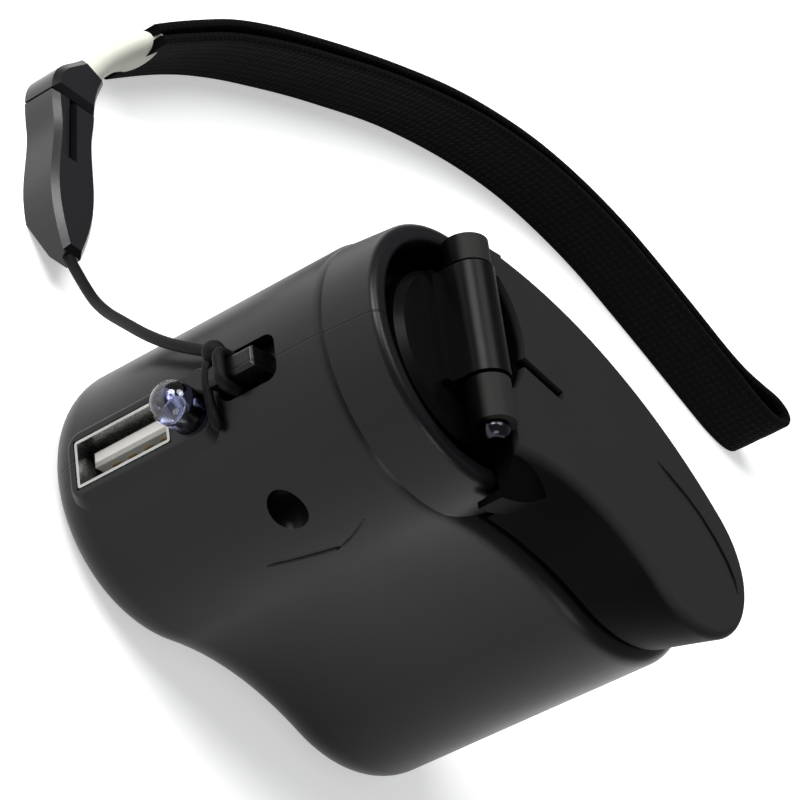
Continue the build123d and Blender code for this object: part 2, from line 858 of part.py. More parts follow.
# ---------------------------------------------------------------- generator
rotor_plane = Plane(origin=(rotor_axis[0], rotor_axis[1], 0))
magnet_radius = can_radius - can_wall
rotor_radius = magnet_radius - magnet_thickness - rotor_gap
rotor_length = can_length * rotor_share
winding_height = can_length * winding_share
commutator_length = can_length * commutator_share
rotor_low_z = can_low_z + (can_length - rotor_length) / 2
magnet_low_z = can_low_z + can_length * 0.2

with BuildPart() as generator_can:
    with BuildSketch(rotor_plane.offset(can_low_z)):
        Circle(can_radius)
    extrude(amount=can_length)
    fillet(generator_can.edges().group_by(Axis.Z)[-1], can_wall)
    with BuildSketch(rotor_plane.offset(can_low_z)):
        Circle(can_radius - can_wall)
    extrude(amount=can_length - can_wall, mode=Mode.SUBTRACT)
    with BuildSketch(rotor_plane.offset(can_low_z)):
        Circle(rotor_shaft_radius + running_gap)
    extrude(amount=can_length, mode=Mode.SUBTRACT)
save(generator_can, "generator_can")

with BuildPart() as generator_cap:
    with BuildSketch(rotor_plane.offset(can_low_z - end_cap_thickness)):
        Circle(can_radius)
    extrude(amount=end_cap_thickness)
    with BuildSketch(rotor_plane.offset(can_low_z)):
        Circle(can_radius - can_wall)
        Circle(can_radius - 2 * can_wall, mode=Mode.SUBTRACT)
    extrude(amount=can_wall)
    with BuildSketch(rotor_plane.offset(can_low_z - end_cap_thickness / 2)):
        Circle(rotor_shaft_radius + running_gap)
    extrude(amount=end_cap_thickness, mode=Mode.SUBTRACT)
save(generator_cap, "generator_cap")

with BuildPart() as field_magnets:
    with BuildSketch(rotor_plane.offset(magnet_low_z)):
        Circle(magnet_radius)
        Circle(magnet_radius - magnet_thickness, mode=Mode.SUBTRACT)
        Rectangle(2 * can_radius, magnet_radius * 0.5, mode=Mode.SUBTRACT)
    extrude(amount=can_length * 0.6)
save(field_magnets, "field_magnets")

with BuildPart() as rotor_core:
    with BuildSketch(rotor_plane.offset(rotor_low_z)):
        Circle(rotor_radius)
        Circle(rotor_shaft_radius, mode=Mode.SUBTRACT)
        with PolarLocations(rotor_radius * 0.62, 3, start_angle=60):
            Circle(rotor_radius * 0.24, mode=Mode.SUBTRACT)
        with PolarLocations(rotor_radius * 0.9, 3, start_angle=60):
            Rectangle(rotor_radius * 0.4, rotor_radius * 0.12, mode=Mode.SUBTRACT)
    extrude(amount=rotor_length)
save(rotor_core, "rotor_core")

with BuildPart() as rotor_windings:
    for low_z in (rotor_low_z - winding_height, rotor_low_z + rotor_length):
        with BuildSketch(rotor_plane.offset(low_z)):
            Circle(rotor_radius * 0.8)
            Circle(rotor_shaft_radius + winding_height, mode=Mode.SUBTRACT)
        extrude(amount=winding_height)
save(rotor_windings, "rotor_windings")

commutator_z = can_low_z + can_wall * 0.5
with BuildPart() as commutator:
    with BuildSketch(rotor_plane.offset(commutator_z)):
        Circle(commutator_radius)
        Circle(rotor_shaft_radius, mode=Mode.SUBTRACT)
        with PolarLocations(commutator_radius, 3):
            Rectangle(commutator_radius * 0.5, commutator_radius * 0.14, mode=Mode.SUBTRACT)
    extrude(amount=commutator_length)
save(commutator, "commutator")

with BuildPart() as brushes:
    for side in (-1, 1):
        with BuildSketch(rotor_plane.offset(can_low_z)):
            with Locations((side * (commutator_radius + running_gap * 2), 0)):
                Rectangle(
                    can_radius - 3 * can_wall - commutator_radius,
                    brush_width,
                    align=(Align.MIN if side > 0 else Align.MAX, Align.CENTER),
                )
        extrude(amount=brush_width)
save(brushes, "brushes")

with BuildPart() as rotor_shaft:
    with BuildSketch(rotor_plane.offset(can_low_z - end_cap_thickness / 2)):
        Circle(rotor_shaft_radius)
    extrude(amount=second_z + gear_face - can_low_z + end_cap_thickness / 2)
save(rotor_shaft, "rotor_shaft")

rotor_pinion_turn = meshed_turn(0.0, second_teeth, third_angle, pinion_teeth)
with BuildPart() as rotor_pinion:
    with BuildSketch(rotor_plane.offset(second_z)):
        add(gear_face_sketch(pinion_teeth, rotor_pinion_turn))
        Circle(rotor_shaft_radius, mode=Mode.SUBTRACT)
    extrude(amount=gear_face)
save(rotor_pinion, "rotor_pinion")

# the generator's two wires, from its cap to the board
with BuildPart() as generator_wires:
    for side in (-1, 1):
        wire_start = step(rotor_axis, can_radius * 0.5, 180 - side * 30)
        wire_z = can_low_z - end_cap_thickness - wire_drop + 1.5 * side * wire_radius
        wire_x = board_x + board_length * 0.9 + 2 * side * wire_radius
        wire_route = [
            (*wire_start, can_low_z - end_cap_thickness),
            (*wire_start, wire_z),
            (wire_x, board_y - 6 * wire_radius, wire_z),
            (wire_x, board_y, wire_z),
        ]
        with BuildLine():
            wire_run = FilletPolyline(*wire_route, radius=bend_radii(wire_route))
        with BuildSketch(Plane(origin=wire_run @ 0, z_dir=wire_run % 0)):
            Circle(wire_radius)
        sweep()
save(generator_wires, "generator_wires")

# ---------------------------------------------------------------- crank arm
bridge_z = rim_z + arm_bridge_gap
arm_ceiling_z = arm_top_z - arm_face_thickness
arm_clear_radius = collar_root_radius + arm_collar_gap
lug_radius = yoke_radius - lug_gap / 2
low_ear_y = knuckle_low_y - knuckle_gap - low_ear_width
high_ear_y = knuckle_high_y + knuckle_gap
lug_y = yoke_width / 2 + lug_gap

with BuildPart() as arm_hollow:
    with BuildSketch(Plane.XY.offset(arm_low_z)):
        add(bean(arm_root_inset + arm_wall))
    with BuildSketch(Plane.XY.offset(arm_ceiling_z)):
        add(arm_face(arm_wall))
    loft()
    with BuildSketch(Plane.XY.offset(arm_low_z)):
        Circle(arm_clear_radius + arm_wall)
    extrude(amount=arm_top, mode=Mode.SUBTRACT)

# the skirt that hides the collar's flank, on the waist's side
with BuildPart() as arm_skirt:
    with BuildSketch(Plane.XZ):
        with BuildLine():
            Polyline(
                (0, side_z + skirt_rise),
                (skirt_radius, side_z + skirt_rise),
                (skirt_radius, side_z + skirt_shoulder),
                (head_radius - arm_face_inset + arm_edge_round / 4, arm_top_z - arm_edge_round),
                (0, arm_top_z - arm_edge_round),
                close=True,
            )
        make_face()
    revolve(axis=Axis.Z)
    split(bisect_by=Plane.XZ, keep=Keep.TOP)

with BuildPart() as crank_arm:
    with BuildSketch(Plane.XY.offset(arm_low_z)):
        add(bean(arm_root_inset))
    with BuildSketch(Plane.XY.offset(arm_top_z)):
        add(arm_face())
    loft()
    fillet(crank_arm.edges().group_by(Axis.Z)[-1], arm_edge_round)
    add(arm_skirt.part)
    add(arm_hollow.part, mode=Mode.SUBTRACT)
    # room for the collar, and the open bay round the hinge
    with BuildSketch(Plane.XY.offset(side_z)):
        Circle(arm_clear_radius)
    with BuildSketch(Plane.XY.offset(bridge_z)):
        Circle(collar_rim_radius + arm_collar_gap)
    loft(mode=Mode.SUBTRACT)
    with BuildSketch(Plane.XY.offset(side_z)):
        with Locations((cut_x, cut_y)):
            Circle(cut_radius)
        with Locations((hinge_x + 2.2 * pin_radius, 0)):
            Rectangle(2 * head_radius, 3 * head_radius, align=(Align.MAX, Align.CENTER))
    extrude(amount=2 * arm_top, mode=Mode.SUBTRACT)
    # the two ears on the hinge pin
    for ear_y, ear_width in ((low_ear_y, low_ear_width), (high_ear_y, high_ear_width)):
        with BuildSketch(Plane.XZ.offset(-ear_y)):
            with Locations((hinge_x, hinge_z)):
                Circle(ear_radius)
            with Locations((hinge_x, bridge_z)):
                Rectangle(ear_reach, arm_top_z - bridge_z, align=(Align.MIN, Align.MIN))
            with Locations((hinge_x, hinge_z)):
                Circle(pin_radius, mode=Mode.SUBTRACT)
        extrude(amount=-ear_width)
    with BuildSketch(Plane.XY.offset(arm_top_z)):
        with Locations((slot_x, slot_y)):
            Rectangle(slot_length, slot_width, rotation=slot_angle, align=(Align.MIN, Align.CENTER))
    extrude(amount=-slot_width, mode=Mode.SUBTRACT)
    # lugs for the knob's pin, under the face
    for low_y in (knob_y - lug_y - lug_width, knob_y + lug_y):
        with BuildSketch(Plane.XZ.offset(-low_y)):
            with Locations((knob_pivot_x, knob_z)):
                Circle(lug_radius)
                Rectangle(2 * lug_radius, arm_ceiling_z - knob_z, align=(Align.CENTER, Align.MIN))
                Circle(knob_pin_radius, mode=Mode.SUBTRACT)
        extrude(amount=-lug_width)
save(crank_arm, "crank_arm")

pin_low_y = low_ear_y - pin_head_length
with BuildPart() as hinge_pin:
    with BuildSketch(Plane.XZ.offset(-low_ear_y)):
        with Locations((hinge_x, hinge_z)):
            Circle(pin_head_radius)
    extrude(amount=pin_head_length)
    fillet(hinge_pin.edges().group_by(Axis.Y)[0], pin_head_length * 0.7)
    with BuildSketch(Plane.XZ.offset(-low_ear_y)):
        with Locations((hinge_x, hinge_z)):
            Circle(pin_radius)
    extrude(amount=-(high_ear_y + high_ear_width - low_ear_y))
save(hinge_pin, "hinge_pin")

with BuildPart() as knob_pin:
    with BuildSketch(Plane.XZ.offset(-knob_y)):
        with Locations((knob_pivot_x, knob_z)):
            Circle(knob_pin_radius)
    extrude(amount=lug_y + lug_width, both=True)
save(knob_pin, "knob_pin")

# ---------------------------------------------------------------- knob
sleeve_high_x = knob_pivot_x - yoke_reach - knob_play
sleeve_low_x = sleeve_high_x - knob_length
seat_x = sleeve_low_x + spindle_head_height * 1.6
spindle_end_x = seat_x - knob_play
spindle_screw_radius = spindle_radius / 2
spindle_screw_length = knob_length / 3

with BuildPart() as knob_yoke:
    with BuildSketch(Plane.XZ.offset(-knob_y)):
        with Locations((knob_pivot_x, knob_z)):
            Circle(yoke_radius)
            Rectangle(yoke_reach, 2 * yoke_radius, align=(Align.MAX, Align.CENTER))
            Circle(knob_pin_radius + running_gap, mode=Mode.SUBTRACT)
    extrude(amount=yoke_width / 2, both=True)
    with BuildSketch(Plane.YZ.offset(spindle_end_x)):
        with Locations((knob_y, knob_z)):
            Circle(spindle_radius)
    extrude(amount=knob_pivot_x - yoke_reach - spindle_end_x)
    with BuildSketch(Plane.YZ.offset(spindle_end_x)):
        with Locations((knob_y, knob_z)):
            Circle(spindle_screw_radius)
    extrude(amount=spindle_screw_length, mode=Mode.SUBTRACT)
save(knob_yoke, "knob_yoke")

with BuildPart() as spindle_screw:
    with BuildSketch(Plane.YZ.offset(spindle_end_x)):
        with Locations((knob_y, knob_z)):
            Circle(spindle_head_radius)
    extrude(amount=-spindle_head_height)
    fillet(spindle_screw.edges().group_by(Axis.X)[0], spindle_head_height * 0.4)
    with BuildSketch(Plane.YZ.offset(spindle_end_x - spindle_head_height)):
        with Locations((knob_y, knob_z)):
            Rectangle(spindle_head_radius * 1.2, spindle_head_radius * 0.25)
            Rectangle(spindle_head_radius * 0.25, spindle_head_radius * 1.2)
    extrude(amount=spindle_head_height * 0.5, mode=Mode.SUBTRACT)
    with BuildSketch(Plane.YZ.offset(spindle_end_x)):
        with Locations((knob_y, knob_z)):
            Circle(spindle_screw_radius)
    extrude(amount=spindle_screw_length)
save(spindle_screw, "spindle_screw")

with BuildPart() as knob_sleeve:
    with BuildSketch(Plane.YZ.offset(sleeve_low_x)):
        with Locations((knob_y, knob_z)):
            Circle(knob_radius)
    extrude(amount=knob_length)
    fillet(knob_sleeve.edges(), knob_round)
    with BuildSketch(Plane.YZ.offset(sleeve_low_x)):
        with Locations((knob_y, knob_z)):
            Circle(spindle_radius + running_gap)
    extrude(amount=knob_length, mode=Mode.SUBTRACT)
    with BuildSketch(Plane.YZ.offset(sleeve_low_x)):
        with Locations((knob_y, knob_z)):
            Circle(spindle_head_radius + 6 * running_gap)
    extrude(amount=seat_x - sleeve_low_x, mode=Mode.SUBTRACT)
save(knob_sleeve, "knob_sleeve")


# ---------------------------------------------------------------- wrist strap
string_radii = bend_radii(string_route)
with BuildPart() as strap_string:
    with BuildLine():
        string_run = FilletPolyline(*string_route, radius=string_radii)
    with BuildSketch(Plane(origin=string_run @ 0, z_dir=string_run % 0)):
        Circle(string_diameter / 2)
    sweep()
save(strap_string, "strap_string")
print("string length", string_run.length, "least bend", min(string_radii))

# the knot, and the loop it closes round the strap bar
loop_x = -bar_face + bar_thickness / 2
loop_reach = bar_width / 2 + loop_gap + string_diameter / 2
loop_depth = bar_thickness / 2 + loop_gap + string_diameter / 2
with BuildPart() as string_knot:
    with BuildLine(Plane.XY.offset(bar_low_z + loop_rise)):
        loop_run = FilletPolyline(
            (loop_x + loop_depth, loop_reach),
            (loop_x + loop_depth, -loop_reach),
            (loop_x - loop_depth, -loop_reach),
            (loop_x - loop_depth, loop_reach),
            radius=string_diameter * 0.8,
            close=True,
        )
    with BuildSketch(Plane(origin=loop_run @ 0, z_dir=loop_run % 0)):
        Circle(string_diameter / 2)
    sweep()
    with Locations(string_route[0]):
        Sphere(knot_radius)
    add(strap_string.part, mode=Mode.SUBTRACT)
save(string_knot, "string_knot")

buckle_direction = polar(1.0, buckle_heading)
buckle_plane = Plane(origin=(*buckle_start, 0), x_dir=(*buckle_direction, 0), z_dir=(0, 0, 1))
buckle_side_plane = Plane(
    origin=(*buckle_start, 0),
    x_dir=(*buckle_direction, 0),
    z_dir=(buckle_direction[1], -buckle_direction[0], 0),
)
half_width = buckle_width / 2
bore_z = buckle_height / 2


def cross_plane(along):
    """A plane across the buckle at a distance from its string end: x to the side, y up."""
    start = step(buckle_start, along, buckle_heading)
    return Plane(
        origin=(*start, 0),
        x_dir=(buckle_direction[1], -buckle_direction[0], 0),
        z_dir=(-buckle_direction[0], -buckle_direction[1], 0),
    )


with BuildPart() as buckle_socket:
    with BuildSketch(buckle_plane):
        with BuildLine():
            flank = Spline(
                (0, buckle_neck),
                (socket_length * 0.4, half_width),
                (socket_length * 0.8, half_width - buckle_waist),
                (socket_length, half_width),
                tangents=((1, 0.4), (1, 0)),
            )
            Polyline(flank @ 1, (socket_length, 0), (0, 0), flank @ 0)
        make_face()
        mirror(about=Plane.XZ)
    extrude(amount=buckle_height)
    with BuildSketch(buckle_side_plane):
        with BuildLine():
            Polyline(
                (0, buckle_lift),
                (buckle_lift * 2.2, 0),
                (socket_length, 0),
                (socket_length, buckle_height),
                (0, buckle_height),
                close=True,
            )
        make_face()
    extrude(amount=buckle_width, both=True, mode=Mode.INTERSECT)
    chamfer(buckle_socket.edges().group_by(Axis.Z)[-1], buckle_chamfer)
    with BuildSketch(cross_plane(socket_length)):
        with Locations((0, bore_z)):
            Rectangle(plug_tongue_width + 2 * plug_gap, plug_tongue_height + 2 * plug_gap)
    extrude(amount=plug_reach + 2 * plug_gap, mode=Mode.SUBTRACT)
    with BuildSketch(buckle_plane.offset(bore_z)):
        with Locations((window_start, window_width / 2)):
            Rectangle(socket_length, window_width, align=(Align.MIN, Align.CENTER))
    extrude(amount=buckle_height, mode=Mode.SUBTRACT)
    add(strap_string.part, mode=Mode.SUBTRACT)
save(buckle_socket, "buckle_socket")

shoulder = socket_length + plug_gap
plug_end = (shoulder + plug_length, -plug_side)
plug_left = step(plug_end, plug_end_width / 2, 90 - plug_turn)
plug_right = step(plug_end, plug_end_width / 2, -90 - plug_turn)

with BuildPart() as buckle_plug:
    with BuildSketch(buckle_plane):
        with BuildLine():
            Spline((shoulder, half_width), plug_left, tangents=((1, 0), polar(1.0, -2 * plug_turn)))
            Line(plug_left, plug_right)
            Spline(plug_right, (shoulder, -half_width), tangents=(polar(1.0, 180 - plug_turn), (-1, 0)))
            Line((shoulder, -half_width), (shoulder, half_width))
        make_face()
    extrude(amount=buckle_height)
    chamfer(buckle_plug.edges().group_by(Axis.Z)[-1], buckle_chamfer)
    with BuildSketch(cross_plane(shoulder)):
        with Locations((0, bore_z)):
            Rectangle(plug_tongue_width, plug_tongue_height)
    extrude(amount=plug_reach + plug_gap)
    # the latch lever that shows in the socket's window
    with BuildSketch(buckle_plane.offset(bore_z)):
        with Locations((window_start + plug_gap, window_width / 2)):
            Rectangle(socket_length - window_start, lever_width, align=(Align.MIN, Align.CENTER))
    extrude(amount=bore_z - buckle_chamfer)
save(buckle_plug, "buckle_plug")


def section_plane(point, height, angle):
    """A plane across a path at a point: x to the side, y up or down."""
    along = polar(1.0, angle)
    return Plane(origin=(*point, height), x_dir=(along[1], -along[0], 0), z_dir=(*along, 0))


webbing_z = webbing_width / 2
webbing_points = [(x, y, webbing_z) for x, y in webbing_route]
webbing_radii = bend_radii(webbing_points)
with BuildPart() as strap_webbing:
    with BuildLine():
        webbing_run = FilletPolyline(*webbing_points, radius=webbing_radii)
    with BuildSketch(section_plane(webbing_route[0], webbing_z, heading(*webbing_route[:2]))):
        Rectangle(webbing_thickness, webbing_width)
    sweep()
save(strap_webbing, "strap_webbing")
print("webbing length", webbing_run.length, "least bend", min(webbing_radii))

# the sleeve starts at the plug's end face and turns into the webbing's line
start_heading = buckle_heading - plug_turn
plug_reach_point = step(buckle_start, plug_end[0], buckle_heading)
sleeve_start = step(plug_reach_point, plug_side, buckle_heading - 90)
sleeve_elbow = step(sleeve_start, sleeve_bend, (start_heading + sleeve_bend_heading) / 2)
with BuildPart() as strap_sleeve:
    with BuildSketch(section_plane(sleeve_start, bore_z, start_heading)):
        Ellipse(sleeve_start_radius, sleeve_start_radius * 0.99)
    with BuildSketch(section_plane(sleeve_elbow, bore_z * 1.3, sleeve_bend_heading)):
        Ellipse(sleeve_start_radius, sleeve_start_radius * 1.25)
    with BuildSketch(section_plane(sleeve_end, webbing_z, sleeve_heading)):
        Ellipse(sleeve_half_width, sleeve_half_height)
    loft()
    add(strap_webbing.part, mode=Mode.SUBTRACT)
save(strap_sleeve, "strap_sleeve")
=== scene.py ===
import math

import bmesh
import bpy
from mathutils import Matrix, Vector, noise


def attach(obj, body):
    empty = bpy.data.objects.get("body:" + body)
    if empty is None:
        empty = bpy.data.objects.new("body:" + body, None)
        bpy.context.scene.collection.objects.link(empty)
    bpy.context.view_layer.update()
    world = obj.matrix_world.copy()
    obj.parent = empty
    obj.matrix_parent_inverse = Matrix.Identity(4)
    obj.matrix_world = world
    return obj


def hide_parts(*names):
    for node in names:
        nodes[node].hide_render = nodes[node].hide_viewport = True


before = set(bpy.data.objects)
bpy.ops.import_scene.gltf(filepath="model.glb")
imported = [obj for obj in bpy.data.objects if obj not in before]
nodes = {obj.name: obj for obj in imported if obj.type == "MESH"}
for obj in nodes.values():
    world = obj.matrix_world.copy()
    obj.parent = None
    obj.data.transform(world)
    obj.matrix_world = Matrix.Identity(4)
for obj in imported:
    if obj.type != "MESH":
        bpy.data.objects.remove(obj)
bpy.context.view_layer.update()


mm = 0.001
creaseAngles = {"node": 28, "small": 40, "webbing": 50}  # degrees, past which an edge stays sharp

# the photograph's angle: a long lens from the port's side, rolled as the object lies in it
cameraPlace = {
    "location": (-0.26251, -0.18506, 0.21455),
    "turn": (39.3628, -51.1936, -11.4702),
    "lens": 155.75,
    "sensor": 36.0,
    "nearest": 0.01,
}
cameraData = bpy.data.cameras.new("camera")
cameraData.lens = cameraPlace["lens"]
cameraData.sensor_width = cameraPlace["sensor"]
cameraData.clip_start = cameraPlace["nearest"]
camera = bpy.data.objects.new("camera", cameraData)
camera.location = cameraPlace["location"]
camera.rotation_euler = [math.radians(angle) for angle in cameraPlace["turn"]]
bpy.context.scene.collection.objects.link(camera)
bpy.context.scene.camera = camera


# a written sRGB colour as the linear values that a shader takes
def linear(hexText):
    values = [int(hexText[i : i + 2], 16) / 255 for i in (1, 3, 5)]
    return [v / 12.92 if v <= 0.04045 else ((v + 0.055) / 1.055) ** 2.4 for v in values] + [1.0]


# adds a node, sets it up, and fills each input with a value or with a link to another node's output
def addNode(tree, kind, inputs=None, **settings):
    node = tree.nodes.new(kind)
    for key, value in settings.items():
        setattr(node, key, value)
    for key, value in (inputs or {}).items():
        if isinstance(value, bpy.types.NodeSocket):
            tree.links.new(value, node.inputs[key])
        else:
            node.inputs[key].default_value = value
    return node


def newMaterial(name, shaderInputs):
    material = bpy.data.materials.new(name)
    material.use_nodes = True
    tree = material.node_tree
    shader = tree.nodes["Principled BSDF"]
    for key, value in shaderInputs.items():
        shader.inputs[key].default_value = value
    return material, tree, shader


def plug(tree, shader, outputs):
    for key, output in outputs.items():
        tree.links.new(output, shader.inputs[key])


def setMaterial(piece, material):
    piece.data.materials.clear()
    piece.data.materials.append(material)


def smoothShade(mesh, angle):
    for polygon in mesh.polygons:
        polygon.use_smooth = True
    mesh.set_sharp_from_angle(angle=math.radians(angle))


def makeObject(name, bm, body, angle=creaseAngles["small"]):
    bmesh.ops.recalc_face_normals(bm, faces=bm.faces)
    mesh = bpy.data.meshes.new(name)
    bm.to_mesh(mesh)
    bm.free()
    smoothShade(mesh, angle)
    piece = bpy.data.objects.new(name, mesh)
    bpy.context.scene.collection.objects.link(piece)
    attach(piece, body)
    return piece


# an open NURBS curve whose control points are the route. A tube's bevel is 1 m deep, and each point's radius
# scales it down to the real size, because a curve's bounds grow by that radius
def routeCurve(name, points, thickness=0.0):
    data = bpy.data.curves.new(name, "CURVE")
    data.dimensions = "3D"
    data.bevel_depth = 1.0 if thickness else 0.0
    data.bevel_resolution = 6
    data.use_fill_caps = True
    spline = data.splines.new("NURBS")
    spline.points.add(len(points) - 1)
    for point, place in zip(spline.points, points):
        point.co = (*place, 1.0)
        point.radius = thickness / 2
    spline.order_u = 3
    spline.use_endpoint_u = True
    spline.resolution_u = 16
    curve = bpy.data.objects.new(name, data)
    bpy.context.scene.collection.objects.link(curve)
    return curve


def curvePoints(curve):
    bpy.context.view_layer.update()
    depsgraph = bpy.context.evaluated_depsgraph_get()
    mesh = bpy.data.meshes.new_from_object(curve.evaluated_get(depsgraph))
    points = [vertex.co.copy() for vertex in mesh.vertices]
    bpy.data.meshes.remove(mesh)
    return points


# the wrist strap's string, from the bar to the buckle; the route is in mm
stringRoute = [
    (-17.35, 2.85, 26.4),
    (-17.6, 5.2, 22.4),
    (-17.1, 8.8, 18.0),
    (-15.5, 13.5, 13.4),
    (-13.4, 18.0, 9.0),
    (-12.2, 22.4, 5.9),
    (-12.3, 29.0, 3.4),
]
stringSizes = {"diameter": 1.3 * mm, "length": 36 * mm}
stringPoints = [tuple(value * mm for value in place) for place in stringRoute]
strapString = routeCurve("strapString", stringPoints, stringSizes["diameter"])
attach(strapString, "case")
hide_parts("strap_string")

# the webbing's loop stands on its edge, as two runs that meet at the fold; the route is in mm, seen from above
webbingRoute = [
    (1.5, 62.1), (12.0, 68.2), (22.0, 72.6), (34.0, 76.4), (48.0, 80.2), (63.0, 83.2), (78.0, 84.2),
    (92.0, 82.4), (105.0, 78.0), (117.0, 71.6), (128.0, 65.6), (134.6, 61.9), (139.6, 60.9), (141.9, 63.2),
    (139.6, 65.3), (134.8, 65.9), (128.9, 67.3), (117.9, 73.3), (105.8, 79.7), (92.4, 84.3), (78.1, 86.1),
    (62.7, 85.1), (47.6, 82.0), (33.5, 78.2), (21.3, 74.4), (11.1, 69.9), (0.7, 63.5),
]
webbing = {
    "width": 10 * mm,
    "thickness": 1.2 * mm,
    "edge": 0.42 * mm,  # the radius of its long edges
    "edgeSteps": 3,
    "rows": 12,  # across its face
    "lean": 0.12 * mm,  # how far it strays sideways, over about 17 mm of its run
    "leanPerMetre": 60,
    "cup": 0.1 * mm,  # how far its face dips, over about 11 mm of its run and 3 mm across
    "cupPerMetre": (90, 300),
}
webbingCurve = routeCurve("webbingLine", [(x * mm, y * mm, webbing["width"] / 2) for x, y in webbingRoute])
webbingLine = curvePoints(webbingCurve)
bpy.data.objects.remove(webbingCurve)
foldIndex = max(range(len(webbingLine)), key=lambda i: webbingLine[i].x)


# the band's section as (across, along) places: four rounded edges, and rows on its two faces
def webbingSection():
    halfWidth = webbing["width"] / 2
    halfThickness = webbing["thickness"] / 2
    edge = webbing["edge"]
    profile = []
    for cornerY, cornerZ, start in ((1, 1, 0), (-1, 1, 90), (-1, -1, 180), (1, -1, 270)):
        for step in range(webbing["edgeSteps"] + 1):
            angle = math.radians(start + 90 * step / webbing["edgeSteps"])
            across = cornerY * (halfThickness - edge) + edge * math.cos(angle)
            along = cornerZ * (halfWidth - edge) + edge * math.sin(angle)
            profile.append((across, along))
        if start in (90, 270):
            for row in range(1, webbing["rows"]):
                share = 1 - 2 * row / webbing["rows"]
                profile.append((cornerY * halfThickness, cornerZ * share * (halfWidth - edge)))
    return profile


# one run of the band. Its UV is in metres: along the run, and round the section for the weave
def buildWebbing(name, first, last):
    profile = webbingSection()
    bm = bmesh.new()
    uvLayer = bm.loops.layers.uv.new("weave")
    rings = []
    runs = []
    run = 0.0
    for i in range(first, last + 1):
        place = webbingLine[i]
        before = webbingLine[max(i - 1, 0)]
        after = webbingLine[min(i + 1, len(webbingLine) - 1)]
        run += (place - before).length
        runs.append(run)
        forward = (after - before).normalized()
        side = Vector((-forward.y, forward.x, 0))
        lean = webbing["lean"] * noise.noise(Vector((run * webbing["leanPerMetre"], 0, 0)))
        alongRun, acrossFace = webbing["cupPerMetre"]
        ring = []
        for across, along in profile:
            cup = webbing["cup"] * noise.noise(Vector((run * alongRun, along * acrossFace, 2)))
            ring.append(bm.verts.new(place + side * (across + lean + cup) + Vector((0, 0, along))))
        rings.append(ring)
    count = len(profile)
    for i in range(len(rings) - 1):
        for j in range(count):
            k = (j + 1) % count
            face = bm.faces.new((rings[i][j], rings[i + 1][j], rings[i + 1][k], rings[i][k]))
            girth = [j / count, j / count, (j + 1) / count, (j + 1) / count]
            lengthwise = [runs[i], runs[i + 1], runs[i + 1], runs[i]]
            for loop, u, v in zip(face.loops, lengthwise, girth):
                loop[uvLayer].uv = (u, v * 2 * webbing["width"])
    bm.faces.new(rings[0])
    bm.faces.new(list(reversed(rings[-1])))
    return makeObject(name, bm, "strap_end", creaseAngles["webbing"])


webbingFront = buildWebbing("webbingFront", 0, foldIndex)
webbingBack = buildWebbing("webbingBack", foldIndex, len(webbingLine) - 1)
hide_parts("strap_webbing")
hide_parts("strap_webbing")

print("cords done", len(webbingLine))

# the lamp's reflector cup on one post and its second post, seen through the lens, in mm
lampCore = {
    "y": -1.9,
    "z": 21.7,
    "root": -13.1,  # where both posts start, along X
    "cup": -17.6,  # where the cup's post ends and the cup starts
    "rim": -18.3,
    "other": -17.9,  # where the second post ends
    "pitch": 1.27,
    "post": 0.5,
    "postBevel": 0.075,
    "cupDrop": 0.5715,
    "cupRadius": 0.95,
    "cupRoot": 0.57,
    "lip": 0.12,
    "bowlSlope": 0.35,
    "bowlDepth": 0.4,
    "sides": 32,
}


def buildLampCore():
    bm = bmesh.new()
    facingPort = Matrix.Rotation(math.radians(-90), 4, "Y")
    for side, tip in ((-1, lampCore["cup"]), (1, lampCore["other"])):
        length = lampCore["root"] - tip
        middle = Vector(((lampCore["root"] + tip) / 2, lampCore["y"], lampCore["z"] + side * lampCore["pitch"]))
        stretch = Matrix.Diagonal((length * mm, lampCore["post"] * mm, lampCore["post"] * mm, 1.0))
        post = bmesh.ops.create_cube(bm, size=1.0, matrix=Matrix.Translation(middle * mm) @ stretch)
        edges = list(dict.fromkeys(edge for vert in post["verts"] for edge in vert.link_edges))
        bmesh.ops.bevel(bm, geom=edges, offset=lampCore["postBevel"] * mm, affect="EDGES", segments=2,
                        profile=0.5, material=-1)
    cupHeight = lampCore["z"] - lampCore["cupDrop"]
    middle = Vector(((lampCore["cup"] + lampCore["rim"]) / 2, lampCore["y"], cupHeight))
    depth = (lampCore["cup"] - lampCore["rim"]) * mm
    cup = bmesh.ops.create_cone(bm, cap_ends=True, segments=lampCore["sides"], radius1=lampCore["cupRoot"] * mm,
                                radius2=lampCore["cupRadius"] * mm, depth=depth,
                                matrix=Matrix.Translation(middle * mm) @ facingPort)
    cupFaces = {face for vert in cup["verts"] for face in vert.link_faces}
    mouth = min(cupFaces, key=lambda face: face.calc_center_median().x)
    bmesh.ops.inset_region(bm, faces=[mouth], thickness=lampCore["lip"] * mm)
    bmesh.ops.inset_region(bm, faces=[mouth], thickness=lampCore["bowlSlope"] * mm,
                           depth=-lampCore["bowlDepth"] * mm)
    return makeObject("lampCore", bm, "case")


